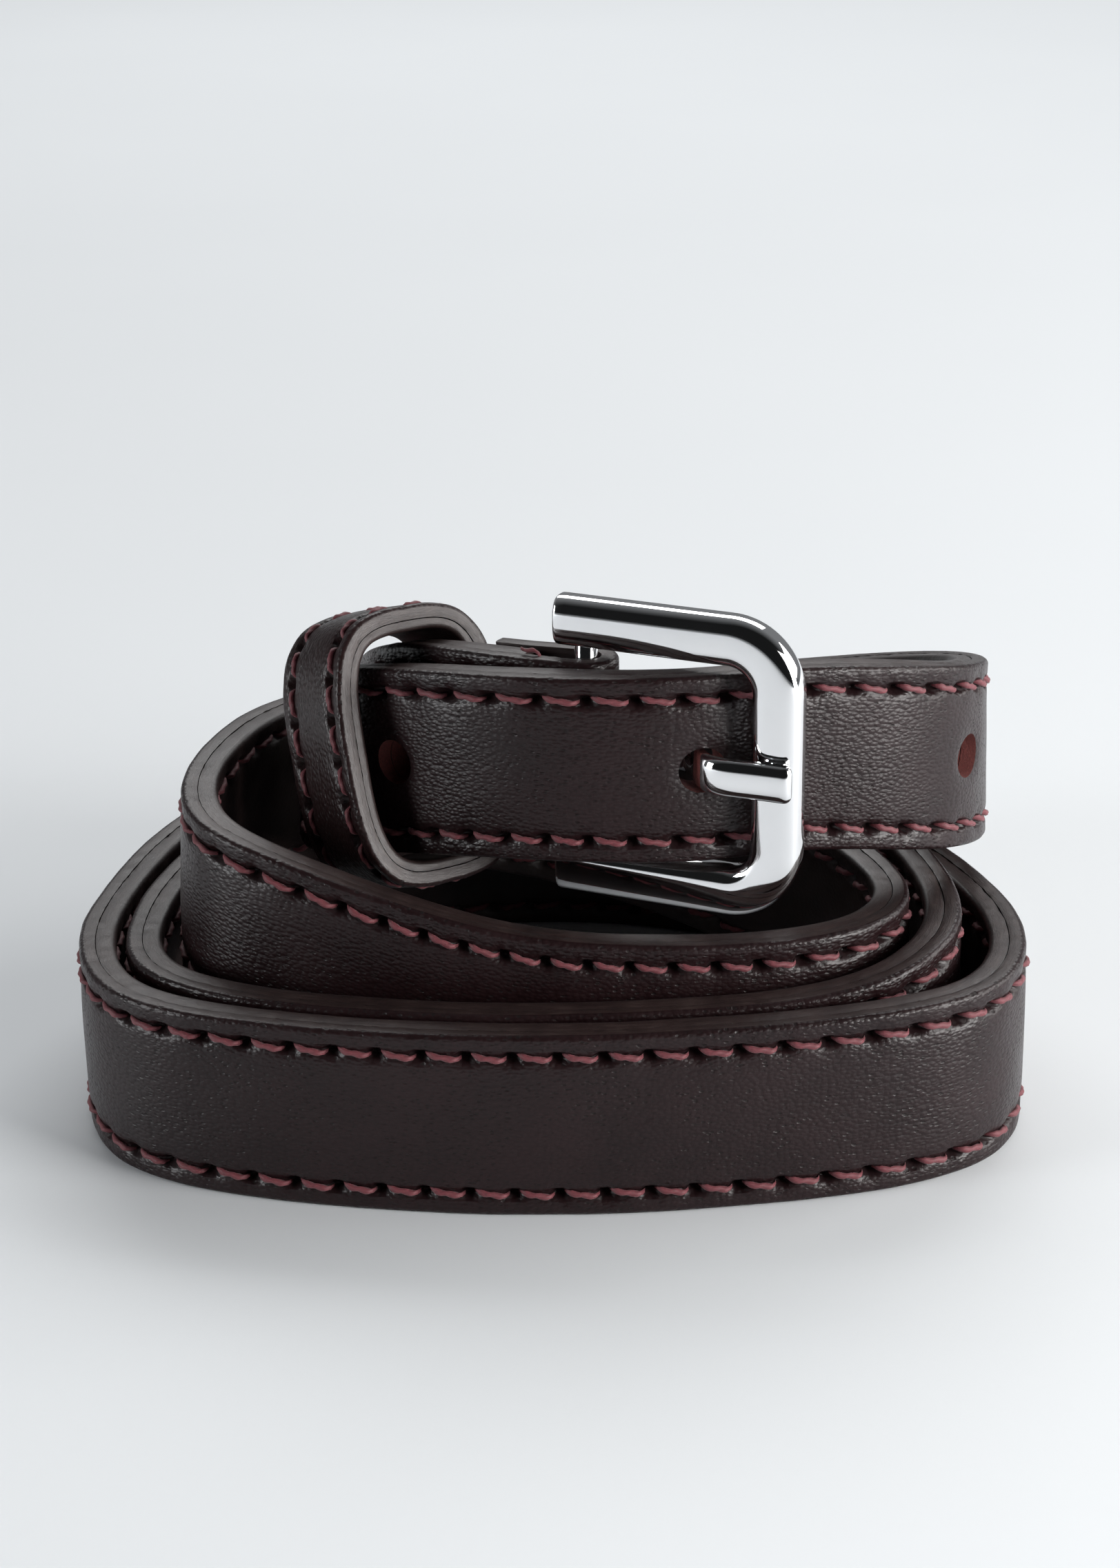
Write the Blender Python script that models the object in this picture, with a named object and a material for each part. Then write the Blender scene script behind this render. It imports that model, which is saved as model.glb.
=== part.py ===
"""A slim stitched leather dress belt, buckled on its second hole and coiled into stacked turns.

The belt stands on the lower edge of its two outer turns. Lengths are in millimetres until the
meshes are made, +Z is up, and the origin is the middle of the strap's footprint on the floor.
"""

import math

import bmesh
import bpy
import numpy as np

MM = 0.001

# Strap: two bonded layers, sewn along both edges.
STRAP_WIDTH = 15.0
STRAP_THICKNESS = 3.0
FACE_THICKNESS = 1.35
GLUE_LINE = 0.4
LINING_INSET = 0.3
LINING_START = 5.0
EDGE_BEVEL = 0.4
STITCH_INSET = 1.8
GROOVE_TOP = 0.55
GROOVE_FLOOR = 0.2
GROOVE_DEPTH = 0.8
THREAD_RADIUS = 0.25
TIP_LENGTH = 9.0
TIP_END_SHARE = 0.28

# Holes, counted from the prong's hole: one nearer the tip, three further from it.
HOLE_DIAMETER = 3.6
HOLE_STRIP = 2.8
HOLE_PITCH = 25.0
HOLES_TOWARDS_TIP = 1
HOLES_AWAY_FROM_TIP = 3
PRONG_HOLE_X = 11.5

# Buckle.
FRAME_BAR = 4.0
FRAME_DEPTH = 3.0
FRAME_BEVEL = 0.75
FRAME_OPENING = 16.4
FRAME_REACH = 15.9
FRAME_TAIL = 2.3
FRAME_CORNER = 4.0
FRAME_HEIGHT_OFFSET = 0.0
BAR_X = 17.9
BAR_Y = -19.1
PIN_RADIUS = 0.9
RUNNING_GAP = 0.25
PIN_SEAT = 2.2
FOLD_GAP = 0.3
FOLD_LENGTH = 8.0
FOLD_START = 5.0
SLOT_WIDTH = 4.2
SLOT_LEFT = 3.2
PRONG_WIDTH = 3.0
PRONG_THICKNESS = 1.2
EYE_THICKNESS = 0.8

# Keeper loop round both straps.
KEEPER_BAND = 8.5
KEEPER_HEIGHT = 22.4
KEEPER_DEPTH = 15.8
KEEPER_FACE = 1.05
KEEPER_LINING = 0.75
KEEPER_SQUARENESS = 3.2
KEEPER_SIDES = 32
KEEPER_X = -12.4
STITCH_INSET_KEEPER = 1.5

# Sampling of the swept pieces.
TURN_PER_SECTION = math.radians(17)
LONGEST_SECTION = 12.0

# The strap's middle line, from the pin to the tip: x, y, height of the strap's middle, and the
# lean in degrees of its upper edge towards the inside.
ROUTE = (
    # Buckle end, from the pin to the left, then down into the coil.
    (2.7, -13.4, 30.9, 0), (-4.0, -10.4, 30.75, 0), (-9.6, -4.9, 29.4, 2), (-13.3, 1.2, 26.4, 5),
    (-14.1, 7.4, 22.4, 6), (-10.6, 11.9, 19.4, 5), (-3.1, 14.2, 17.0, 3), (8.9, 12.3, 14.2, 0),
    (18.9, 5.3, 12.0, 0), (25.3, -3.9, 10.8, 0), (27.1, -12.5, 10.7, 0),
    # Third turn: front, left side and back.
    (24.3, -18.5, 11.0, 0), (17.9, -21.6, 11.0, 0), (8.9, -22.7, 11.2, 0), (-1.1, -22.8, 12.0, 0),
    (-11.1, -21.3, 14.0, 1), (-20.3, -18.4, 16.6, 2), (-26.5, -13.9, 18.2, 3), (-28.4, -6.9, 18.9, 3),
    (-26.9, 1.9, 19.4, 3), (-23.2, 10.3, 19.2, 3), (-14.5, 17.9, 18.4, 1), (0.9, 21.1, 17.0, 0),
    (13.9, 17.1, 14.6, 0), (24.5, 8.5, 11.6, 0), (30.3, -2.3, 9.7, 0), (31.3, -11.9, 9.6, 0),
    (29.8, -18.3, 9.4, 0),
    # Second turn, on the floor.
    (26.1, -22.6, 8.6, 0), (19.5, -25.1, 7.8, 0), (8.9, -26.4, 7.5, 0), (-3.1, -26.7, 7.5, 0),
    (-15.1, -25.0, 7.5, 0), (-25.1, -21.8, 7.5, 0), (-31.3, -16.5, 7.5, 0), (-32.8, -8.5, 7.5, 0),
    (-31.3, 2.1, 7.5, 0), (-26.9, 12.7, 7.5, 0), (-16.9, 21.6, 7.5, 0), (0.9, 25.1, 7.5, 0),
    (16.1, 20.9, 7.5, 0), (28.1, 11.1, 7.5, 0), (34.3, -1.3, 7.5, 0), (36.3, -13.3, 7.5, 0),
    # First turn, on the floor, then up round the back.
    (33.1, -22.7, 7.5, 0), (23.5, -27.7, 7.5, 0), (10.9, -29.9, 7.5, 0), (-1.1, -30.4, 7.5, 0),
    (-13.1, -29.1, 7.5, 0), (-24.1, -26.4, 7.5, 0), (-32.9, -21.2, 7.5, 0), (-36.3, -12.9, 7.5, 0),
    (-35.7, -0.7, 7.5, 0), (-32.1, 11.9, 7.7, 0), (-22.5, 24.0, 8.8, 0), (-5.1, 30.3, 11.2, 0),
    (10.9, 29.5, 14.4, 0), (23.5, 24.1, 17.4, 0), (31.1, 15.9, 20.6, 0), (34.7, 7.3, 23.4, 1),
    (34.4, -0.5, 25.6, 1),
    # Tip end: over the pin, behind the bar, through the keeper.
    (31.3, -7.1, 27.6, 1), (26.3, -11.1, 29.2, 1), (19.5, -13.9, 30.3, 1), (11.5, -16.9, 30.8, 1),
    (2.9, -17.3, 31.0, 0), (-4.7, -14.7, 30.5, 0), (-11.3, -9.5, 29.0, 2), (-16.5, -3.1, 26.6, 4),
    (-19.0, 3.3, 23.8, 6), (-19.3, 6.9, 22.4, 6),
)

UP = np.array([0.0, 0.0, 1.0])


# --- Route ---------------------------------------------------------------------------------------

def unit(vectors):
    return vectors / np.linalg.norm(vectors, axis=-1, keepdims=True)


class Spline:
    """A natural cubic through points, with the length of the chords as its parameter."""

    def __init__(self, points):
        self.points = np.array(points, float)
        chords = np.linalg.norm(np.diff(self.points[:, :3], axis=0), axis=1)
        self.knots = np.concatenate([[0.0], np.cumsum(chords)])
        self.length = self.knots[-1]
        steps = np.diff(self.knots)
        slopes = np.diff(self.points, axis=0) / steps[:, None]
        count = len(self.knots)
        system = np.eye(count)
        right = np.zeros_like(self.points)
        for i in range(1, count - 1):
            system[i, i - 1:i + 2] = steps[i - 1], 2 * (steps[i - 1] + steps[i]), steps[i]
            right[i] = 6 * (slopes[i] - slopes[i - 1])
        self.bend = np.linalg.solve(system, right)

    def at(self, places):
        """Values and first derivatives at some places along the chords."""
        places = np.atleast_1d(np.array(places, float))
        i = np.clip(np.searchsorted(self.knots, places) - 1, 0, len(self.knots) - 2)
        step = (self.knots[i + 1] - self.knots[i])[:, None]
        after = places[:, None] - self.knots[i][:, None]
        before = self.knots[i + 1][:, None] - places[:, None]
        low, high = self.points[i], self.points[i + 1]
        bend_low, bend_high = self.bend[i], self.bend[i + 1]
        value = (bend_low * before ** 3 + bend_high * after ** 3) / (6 * step)
        value += (low / step - bend_low * step / 6) * before
        value += (high / step - bend_high * step / 6) * after
        slope = (bend_high * after ** 2 - bend_low * before ** 2) / (2 * step)
        slope += (high - low) / step - (bend_high - bend_low) * step / 6
        return value, slope


class Strap:
    """Frames along the strap: middle point, direction, direction across it, and outward normal."""

    def __init__(self, route):
        self.spline = Spline(route)
        self.length = self.spline.length

    def frames(self, places):
        value, slope = self.spline.at(places)
        middle = value[:, :3].copy()
        middle[:, 2] = np.maximum(middle[:, 2], STRAP_WIDTH / 2)
        along = unit(slope[:, :3])
        across = unit(UP - along * (along @ UP)[:, None])
        outward = np.cross(across, along)
        lean = np.radians(value[:, 3])[:, None]
        leaned_across = np.cos(lean) * across - np.sin(lean) * outward
        leaned_outward = np.cos(lean) * outward + np.sin(lean) * across
        return middle, along, leaned_across, leaned_outward

    def sections(self, start, end, extra=()):
        """Places from start to end, closer together where the strap bends."""
        fine = np.linspace(start, end, 2000)
        along = self.frames(fine)[1]
        turns = np.arccos(np.clip((along[1:] * along[:-1]).sum(axis=1), -1, 1))
        spent = np.concatenate([[0.0], np.cumsum(turns / TURN_PER_SECTION + np.diff(fine) / LONGEST_SECTION)])
        count = math.ceil(spent[-1])
        places = np.interp(np.linspace(0, spent[-1], count + 1), spent, fine)
        return np.array(sorted(set(np.round(np.concatenate([places, extra]), 4))))

    def nearest(self, x, start, end):
        """The place between start and end where the strap's middle has this x."""
        places = np.linspace(start, end, 4000)
        return places[np.argmin(np.abs(self.frames(places)[0][:, 0] - x))]


# --- Mesh helpers --------------------------------------------------------------------------------

def material(name, color, roughness, metallic=0.0):
    made = bpy.data.materials.new(name)
    made.use_nodes = True
    shader = made.node_tree.nodes["Principled BSDF"]
    shader.inputs["Base Color"].default_value = (*color, 1.0)
    shader.inputs["Roughness"].default_value = roughness
    shader.inputs["Metallic"].default_value = metallic
    made.diffuse_color = (*color, 1.0)
    return made


def add_object(name, bm, surface, origin=(0.0, 0.0, 0.0)):
    """Makes an object from a bmesh in millimetres, with its origin where it is asked."""
    bmesh.ops.recalc_face_normals(bm, faces=bm.faces)
    for vert in bm.verts:
        vert.co = [(c - o) * MM for c, o in zip(vert.co, origin)]
    mesh = bpy.data.meshes.new(name)
    bm.to_mesh(mesh)
    bm.free()
    mesh.shade_smooth()
    mesh.set_sharp_from_angle(angle=math.radians(35))
    obj = bpy.data.objects.new(name, mesh)
    obj.location = [o * MM for o in origin]
    bpy.context.scene.collection.objects.link(obj)
    if surface:
        mesh.materials.append(surface)
    return obj


def loft(rings, closed=False):
    """A closed skin through rings of points; end caps where the rings don't close on themselves."""
    bm = bmesh.new()
    loops = [[bm.verts.new(point) for point in ring] for ring in rings]
    pairs = list(zip(loops, loops[1:]))
    if closed:
        pairs.append((loops[-1], loops[0]))
    for first, second in pairs:
        for i in range(len(first)):
            j = (i + 1) % len(first)
            bm.faces.new((first[i], first[j], second[j], second[i]))
    if not closed:
        bm.faces.new(loops[0])
        bm.faces.new(loops[-1])
    return bm


def cut(obj, cutter):
    modifier = obj.modifiers.new("cut_" + cutter.name, "BOOLEAN")
    modifier.operation = "DIFFERENCE"
    modifier.solver = "EXACT"
    modifier.object = cutter


def make_cutter(name, bm):
    cutter = add_object(name, bm, None)
    cutter.hide_render = True
    cutter.display_type = "WIRE"
    return cutter


def rod(start, end, radius, sides):
    """A straight round bar as a bmesh."""
    start, end = np.array(start), np.array(end)
    along = unit(end - start)
    side = unit(np.cross(along, UP if abs(along[2]) < 0.9 else np.array([1.0, 0.0, 0.0])))
    other = np.cross(along, side)
    angles = np.arange(sides) * 2 * math.pi / sides
    ring = np.cos(angles)[:, None] * side + np.sin(angles)[:, None] * other
    return loft([start + radius * ring, end + radius * ring])


# --- Strap ---------------------------------------------------------------------------------------

def face_profile(share=1.0):
    """Outer layer across the strap, with a groove for each row of thread, about its own middle."""
    half = FACE_THICKNESS / 2
    edge = STRAP_WIDTH / 2
    row = edge - STITCH_INSET
    upper = [(HOLE_STRIP, -half), (edge, -half), (edge, half - EDGE_BEVEL), (edge - EDGE_BEVEL, half)]
    upper += [(row + GROOVE_TOP, half), (row + GROOVE_FLOOR, half - GROOVE_DEPTH)]
    upper += [(row - GROOVE_FLOOR, half - GROOVE_DEPTH), (row - GROOVE_TOP, half), (HOLE_STRIP, half)]
    points = upper + [(-width, depth) for width, depth in reversed(upper)]
    return [(width * share, depth) for width, depth in points]


def lining_profile(share=1.0):
    edge = STRAP_WIDTH / 2 - LINING_INSET
    inner = -STRAP_THICKNESS / 2
    outer = inner + STRAP_THICKNESS - FACE_THICKNESS - GLUE_LINE
    upper = [(HOLE_STRIP, inner), (edge - LINING_INSET, inner), (edge, inner + LINING_INSET)]
    upper += [(edge, outer), (HOLE_STRIP, outer)]
    points = upper + [(-width, depth) for width, depth in reversed(upper)]
    return [(width * share, depth) for width, depth in points]


def tip_share(distance):
    """How wide the strap is, as a share of its full width, this far from the end of its tip."""
    if distance >= TIP_LENGTH:
        return 1.0
    rest = (TIP_LENGTH - distance) / TIP_LENGTH
    return TIP_END_SHARE + (1 - TIP_END_SHARE) * max(0.0, 1 - rest ** 2.2) ** (1 / 2.2)


def tip_sections(strap):
    return [strap.length - d for d in (TIP_LENGTH, 7.0, 5.0, 3.3, 1.9, 0.9, 0.3)]


def fold_frames(strap):
    """The outer layer's turn round the pin: points and normals, from the end of the return leg."""
    middle, along, across, outward = [item[0] for item in strap.frames(0.0)]
    radius = PIN_RADIUS + FOLD_GAP + FACE_THICKNESS / 2
    face_middle = STRAP_THICKNESS / 2 - FACE_THICKNESS / 2
    pin = middle + (face_middle - radius) * outward
    frames = []
    leg_depth = -STRAP_THICKNESS / 2 - GLUE_LINE - FACE_THICKNESS / 2
    for p, _, a, n in zip(*strap.frames(np.linspace(FOLD_LENGTH, FOLD_START, 5))):
        frames.append((p + leg_depth * n, a, -n))
    for degrees in range(-90, 75, 20):
        angle = math.radians(degrees)
        normal = math.cos(angle) * -along + math.sin(angle) * outward
        frames.append((pin + radius * normal, across, normal))
    return pin, frames


def face_path(strap, places):
    """Outer layer's middle line: the fold, then the strap itself."""
    _, frames = fold_frames(strap)
    middle, _, across, outward = strap.frames(places)
    face_middle = STRAP_THICKNESS / 2 - FACE_THICKNESS / 2
    straight = [(p + face_middle * n, a, n) for p, a, n in zip(middle, across, outward)]
    return frames, straight


def ring_of(frame, profile):
    point, across, normal = frame
    return [point + width * across + depth * normal for width, depth in profile]


def make_strap(strap, leather, lining_leather, thread):
    places = strap.sections(0.0, strap.length, tip_sections(strap))
    frames, straight = face_path(strap, places)
    rings = [ring_of(frame, face_profile()) for frame in frames]
    for place, frame in zip(places, straight):
        rings.append(ring_of(frame, face_profile(tip_share(strap.length - place))))
    face = add_object("strap_face", loft(rings), leather)

    places = places[places > LINING_START]
    middle, _, across, outward = strap.frames(places)
    rings = []
    for place, *frame in zip(places, middle, across, outward):
        rings.append(ring_of(frame, lining_profile(tip_share(strap.length - place))))
    lining = add_object("strap_lining", loft(rings), lining_leather)

    row = STRAP_WIDTH / 2 - STITCH_INSET
    lift = FACE_THICKNESS / 2 - THREAD_RADIUS + 0.02
    diamond = [(THREAD_RADIUS, 0), (0, THREAD_RADIUS), (-THREAD_RADIUS, 0), (0, -THREAD_RADIUS)]
    places = strap.sections(4.0, strap.length - 1.0, tip_sections(strap)[:4])
    _, straight = face_path(strap, places)
    for name, side in (("needle_thread_upper", 1), ("needle_thread_lower", -1)):
        rings = []
        for place, frame in zip(places, straight):
            centre = side * row * tip_share(strap.length - place)
            rings.append(ring_of(frame, [(centre + w, lift + d) for w, d in diamond]))
        add_object(name, loft(rings), thread)
    return face, lining


def punch_holes(strap, prong_place, layers):
    bm = bmesh.new()
    for index in range(-HOLES_TOWARDS_TIP, HOLES_AWAY_FROM_TIP + 1):
        middle, _, _, outward = [item[0] for item in strap.frames(prong_place - index * HOLE_PITCH)]
        hole = rod(middle - STRAP_THICKNESS * outward, middle + STRAP_THICKNESS * outward, HOLE_DIAMETER / 2, 16)
        mesh = bpy.data.meshes.new("hole")
        bmesh.ops.recalc_face_normals(hole, faces=hole.faces)
        hole.to_mesh(mesh)
        hole.free()
        bm.from_mesh(mesh)
        bpy.data.meshes.remove(mesh)
    cutter = make_cutter("hole_cutter", bm)
    for layer in layers:
        cut(layer, cutter)


# --- Buckle --------------------------------------------------------------------------------------

class BucklePlane:
    """The plane of the buckle: from the pin to the bar, up, and out to the front."""

    def __init__(self, pin, up):
        self.up = up
        self.pin = pin + FRAME_HEIGHT_OFFSET * up
        towards_bar = np.array([BAR_X, BAR_Y, pin[2]]) - pin
        self.right = unit(towards_bar - up * (towards_bar @ up))
        self.front = np.cross(self.right, up)

    def point(self, right, up, front):
        return self.pin + right * self.right + up * self.up + front * self.front

    def flat(self, vector):
        """A direction's parts to the right and to the front."""
        return np.array([vector @ self.right, vector @ self.front])


def make_frame(plane, chrome):
    level = FRAME_OPENING / 2 + FRAME_BAR / 2
    stations = [(-FRAME_TAIL, level, 0.0, 1.0)]
    for degrees in range(0, 91, 15):
        a = math.radians(degrees)
        right = FRAME_REACH - FRAME_CORNER + FRAME_CORNER * math.sin(a)
        up = level - FRAME_CORNER + FRAME_CORNER * math.cos(a)
        stations.append((right, up, math.sin(a), math.cos(a)))
    stations += [(r, -u, nr, -nu) for r, u, nr, nu in reversed(stations)]
    wide, deep, bevel = FRAME_BAR / 2, FRAME_DEPTH / 2, FRAME_BEVEL
    profile = [(-wide, bevel - deep), (bevel - wide, -deep), (wide - bevel, -deep), (wide, bevel - deep)]
    profile += [(w, -d) for w, d in reversed(profile)]
    rings = []
    for right, up, normal_right, normal_up in stations:
        ring = [plane.point(right + w * normal_right, up + w * normal_up, d) for w, d in profile]
        rings.append(ring)
    frame = add_object("buckle_frame", loft(rings), chrome, plane.pin)
    seat = FRAME_OPENING / 2 + PIN_SEAT + RUNNING_GAP
    bore = rod(plane.point(0, -seat, 0), plane.point(0, seat, 0), PIN_RADIUS + RUNNING_GAP, 16)
    cut(frame, make_cutter("pin_bore_cutter", bore))
    reach = FRAME_OPENING / 2 + PIN_SEAT
    pin = rod(plane.point(0, -reach, 0), plane.point(0, reach, 0), PIN_RADIUS, 16)
    add_object("hinge_pin", pin, chrome, plane.pin)


def prong_path(hole, hole_axis):
    """The prong's middle line in the buckle's plane, as (right, front, thickness)."""
    eye = PIN_RADIUS + RUNNING_GAP + EYE_THICKNESS / 2
    path = []
    for degrees in range(-30, -271, -24):
        a = math.radians(degrees)
        path.append((eye * math.cos(a), -eye * math.sin(a), EYE_THICKNESS))
    path = path[:-1]
    path.append((0.0, -eye, EYE_THICKNESS))
    rest = FRAME_DEPTH / 2 + 0.3 + PRONG_THICKNESS / 2
    behind = hole - 1.9 * hole_axis
    before = hole + 1.8 * hole_axis
    middle = [(2.4, -eye), (5.2, -1.5), (behind[0] - 1.0, behind[1] - 0.55), tuple(behind)]
    middle += [tuple(hole), tuple(before), (before[0] + 0.9, before[1] + 0.75)]
    middle += [(before[0] + 2.3, rest + 0.75), (FRAME_REACH - 1.9, rest + 0.2), (FRAME_REACH, rest)]
    middle += [(FRAME_REACH + 1.3, rest - 0.02)]
    path += [(right, front, PRONG_THICKNESS) for right, front in middle]
    path.append((FRAME_REACH + 1.7, rest - 0.05, 0.7))
    return path


def make_prong(plane, hole, hole_axis, chrome):
    path = prong_path(plane.flat(hole - plane.pin), plane.flat(hole_axis))
    flat = np.array([(right, front) for right, front, _ in path])
    along = np.gradient(flat, axis=0)
    along = unit(along)
    half = PRONG_WIDTH / 2
    # Across the prong: flat at the back, rounded in front.
    shape = [(-0.8, -0.5), (0.8, -0.5), (1.0, -0.25), (1.0, 0.1), (0.7, 0.42), (0.33, 0.5)]
    shape += [(-0.33, 0.5), (-0.7, 0.42), (-1.0, 0.1), (-1.0, -0.25)]
    rings = []
    for (right, front, thickness), (along_right, along_front) in zip(path, along):
        width = half * (0.8 if thickness < EYE_THICKNESS else 1.0)
        ring = []
        for w, d in shape:
            depth = d * thickness
            ring.append(plane.point(right - depth * along_front, w * width, front + depth * along_right))
        rings.append(ring)
    add_object("prong", loft(rings), chrome, plane.pin)


def cut_prong_slot(plane, face):
    far = 6.0
    corners = []
    for right in (-SLOT_LEFT, far):
        ring = [(-1, -1), (1, -1), (1, 1), (-1, 1)]
        corners.append([plane.point(right, u * SLOT_WIDTH / 2, f * 3.6) for u, f in ring])
    cut(face, make_cutter("slot_cutter", loft(corners)))


# --- Keeper --------------------------------------------------------------------------------------

def keeper_place(strap):
    """Middle and directions of the keeper, half-way between the two straps that it holds."""
    inner = strap.nearest(KEEPER_X + 1.0, 0.0, 30.0)
    outer = strap.nearest(KEEPER_X, strap.length - 45.0, strap.length)
    middle, along, across, _ = strap.frames([inner, outer])
    forward = unit(along[0] + along[1])
    up = unit(across.sum(axis=0) - forward * (across.sum(axis=0) @ forward))
    return middle.mean(axis=0), forward, up, np.cross(up, forward)


def keeper_ring(place, inset, along):
    middle, forward, up, front = place
    points = []
    for i in range(KEEPER_SIDES):
        angle = 2 * math.pi * i / KEEPER_SIDES
        c, s = math.cos(angle), math.sin(angle)
        power = 2 / KEEPER_SQUARENESS
        height = (KEEPER_HEIGHT / 2 - inset) * math.copysign(abs(s) ** power, s)
        depth = (KEEPER_DEPTH / 2 - inset) * math.copysign(abs(c) ** power, c)
        points.append(middle + along * forward + height * up + depth * front)
    return points


def make_band(name, place, outline, surface):
    """A loop round the strap whose section is an outline of (inset, distance along the strap)."""
    rings = [keeper_ring(place, inset, along) for inset, along in outline]
    return add_object(name, loft(rings, closed=True), surface)


def make_keeper(strap, leather, lining_leather, thread, steel):
    place = keeper_place(strap)
    half = KEEPER_BAND / 2
    row = half - STITCH_INSET_KEEPER
    depth = 0.75
    bevel = 0.3
    outline = [(KEEPER_FACE, -half), (bevel, -half), (0, bevel - half), (0, -row - 0.5), (depth, -row - 0.25)]
    outline += [(depth, 0.25 - row), (0, 0.5 - row)]
    outline += [(inset, -along) for inset, along in reversed(outline)]
    make_band("keeper_face", place, outline, leather)
    start = KEEPER_FACE + 0.3
    end = start + KEEPER_LINING
    inner = half - 0.3
    outline = [(start, -inner), (start, inner), (end - 0.2, inner), (end, inner - 0.2)]
    outline += [(end, 0.2 - inner), (end - 0.2, -inner)]
    make_band("keeper_lining", place, outline, lining_leather)
    r = THREAD_RADIUS * 0.9
    for name, side in (("keeper_thread_left", 1), ("keeper_thread_right", -1)):
        centre = side * row
        outline = [(0.2 - r, centre), (0.2, centre + r), (0.2 + r, centre), (0.2, centre - r)]
        make_band(name, place, outline, thread)
    make_staple(place, end + 0.3, steel)


def make_staple(place, inset, steel):
    """A flat wire across the lining, behind the straps, where the loop's two ends meet."""
    middle, forward, up, front = place
    back = middle - (KEEPER_DEPTH / 2 - inset) * front
    half = 2.6
    rings = []
    for along in (-half, half):
        ring = []
        for u, f in ((-0.3, 0.0), (0.3, 0.0), (0.3, 0.45), (-0.3, 0.45)):
            ring.append(back + along * forward + u * up + f * front)
        rings.append(ring)
    add_object("keeper_staple", loft(rings), steel)


# --- Assembly ------------------------------------------------------------------------------------

def main():
    for obj in list(bpy.data.objects):
        bpy.data.objects.remove(obj, do_unlink=True)

    leather = material("dark_brown_leather", (0.045, 0.022, 0.02), 0.42)
    lining_leather = material("brown_lining_leather", (0.09, 0.045, 0.035), 0.65)
    keeper_leather = material("keeper_leather", (0.05, 0.024, 0.022), 0.42)
    thread = material("burgundy_thread", (0.16, 0.03, 0.035), 0.7)
    chrome = material("polished_chrome", (0.85, 0.85, 0.86), 0.08, 1.0)
    steel = material("staple_steel", (0.6, 0.6, 0.6), 0.35, 1.0)

    strap = Strap(ROUTE)
    face, lining = make_strap(strap, leather, lining_leather, thread)
    prong_place = strap.nearest(PRONG_HOLE_X, strap.length - 75.0, strap.length - 35.0)
    punch_holes(strap, prong_place, (face, lining))

    pin, frames = fold_frames(strap)
    plane = BucklePlane(pin, frames[-1][1])
    cut_prong_slot(plane, face)
    make_frame(plane, chrome)
    hole, _, _, hole_axis = [item[0] for item in strap.frames(prong_place)]
    make_prong(plane, hole, hole_axis, chrome)
    make_keeper(strap, keeper_leather, lining_leather, thread, steel)


main()
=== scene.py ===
"""Looks of the slim leather belt: buckled, and coiled into stacked turns.

The strap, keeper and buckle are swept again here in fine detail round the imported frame. Lengths
are in millimetres until the meshes are made.
"""
import math

import bmesh
import bpy
import numpy as np
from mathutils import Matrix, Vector


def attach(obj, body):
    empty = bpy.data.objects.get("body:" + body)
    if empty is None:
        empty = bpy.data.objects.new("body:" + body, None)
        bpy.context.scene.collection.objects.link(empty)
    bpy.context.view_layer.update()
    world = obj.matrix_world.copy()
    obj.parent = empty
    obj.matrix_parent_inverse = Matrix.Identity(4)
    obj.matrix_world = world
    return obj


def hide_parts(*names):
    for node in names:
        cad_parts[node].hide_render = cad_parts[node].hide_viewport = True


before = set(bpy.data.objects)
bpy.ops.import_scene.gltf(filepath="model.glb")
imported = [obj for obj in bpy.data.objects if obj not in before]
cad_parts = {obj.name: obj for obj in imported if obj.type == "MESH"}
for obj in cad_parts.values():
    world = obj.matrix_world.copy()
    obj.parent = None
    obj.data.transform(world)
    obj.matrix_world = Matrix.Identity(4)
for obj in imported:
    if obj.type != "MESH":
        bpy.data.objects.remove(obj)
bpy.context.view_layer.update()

MM = 0.001
UP = np.array([0.0, 0.0, 1.0])
RANDOM = np.random.RandomState(11)

# --- Dimensions, as in the frame -----------------------------------------------------------------

STRAP_WIDTH = 15.0
STRAP_THICKNESS = 3.0
FACE_THICKNESS = 1.35
GLUE_LINE = 0.06
TIP_LENGTH = 9.0
TIP_END_SHARE = 0.28
HOLE_RADIUS = 1.8
HOLE_PITCH = 25.0
HOLES_TOWARDS_TIP = 1
HOLES_AWAY_FROM_TIP = 3
PRONG_HOLE_X = 11.5

FRAME_BAR = 4.0
FRAME_DEPTH = 3.0
FRAME_OPENING = 16.4
FRAME_REACH = 15.9
FRAME_TAIL = 2.3
FRAME_CORNER = 4.0
BAR_X = 17.9
BAR_Y = -19.1
PIN_RADIUS = 0.9
RUNNING_GAP = 0.25
PIN_SEAT = 2.2
FOLD_GAP = 0.3
FOLD_LENGTH = 8.0
FOLD_START = 5.0
SLOT_LEFT = 3.2
PRONG_WIDTH = 3.0
PRONG_THICKNESS = 1.2
EYE_THICKNESS = 0.8

KEEPER_BAND = 8.5
KEEPER_HEIGHT = 22.4
KEEPER_DEPTH = 15.8
KEEPER_FACE = 1.2
KEEPER_LINING = 0.8
KEEPER_SQUARENESS = 3.2
KEEPER_X = -12.4

# Stitching.
STEPS_PER_PITCH = 52
SECTION_STEP = HOLE_PITCH / STEPS_PER_PITCH
STITCH_STEPS = 7
STITCH_PITCH = SECTION_STEP * STITCH_STEPS
STITCH_INSET = 1.8
STITCH_INSET_KEEPER = 1.5
STITCH_GAP = 0.75
THREAD_RADIUS = 0.24
NEEDLE_HOLE_LENGTH = 0.58
NEEDLE_HOLE_WIDTH = 0.42
NEEDLE_HOLE_DEPTH = 0.9
GROOVE_WIDTH = 0.42
GROOVE_DEPTH = 0.2
PUCKER_LENGTH = 1.0
PUCKER_WIDTH = 1.3
PUCKER_DEPTH = 0.1

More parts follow.
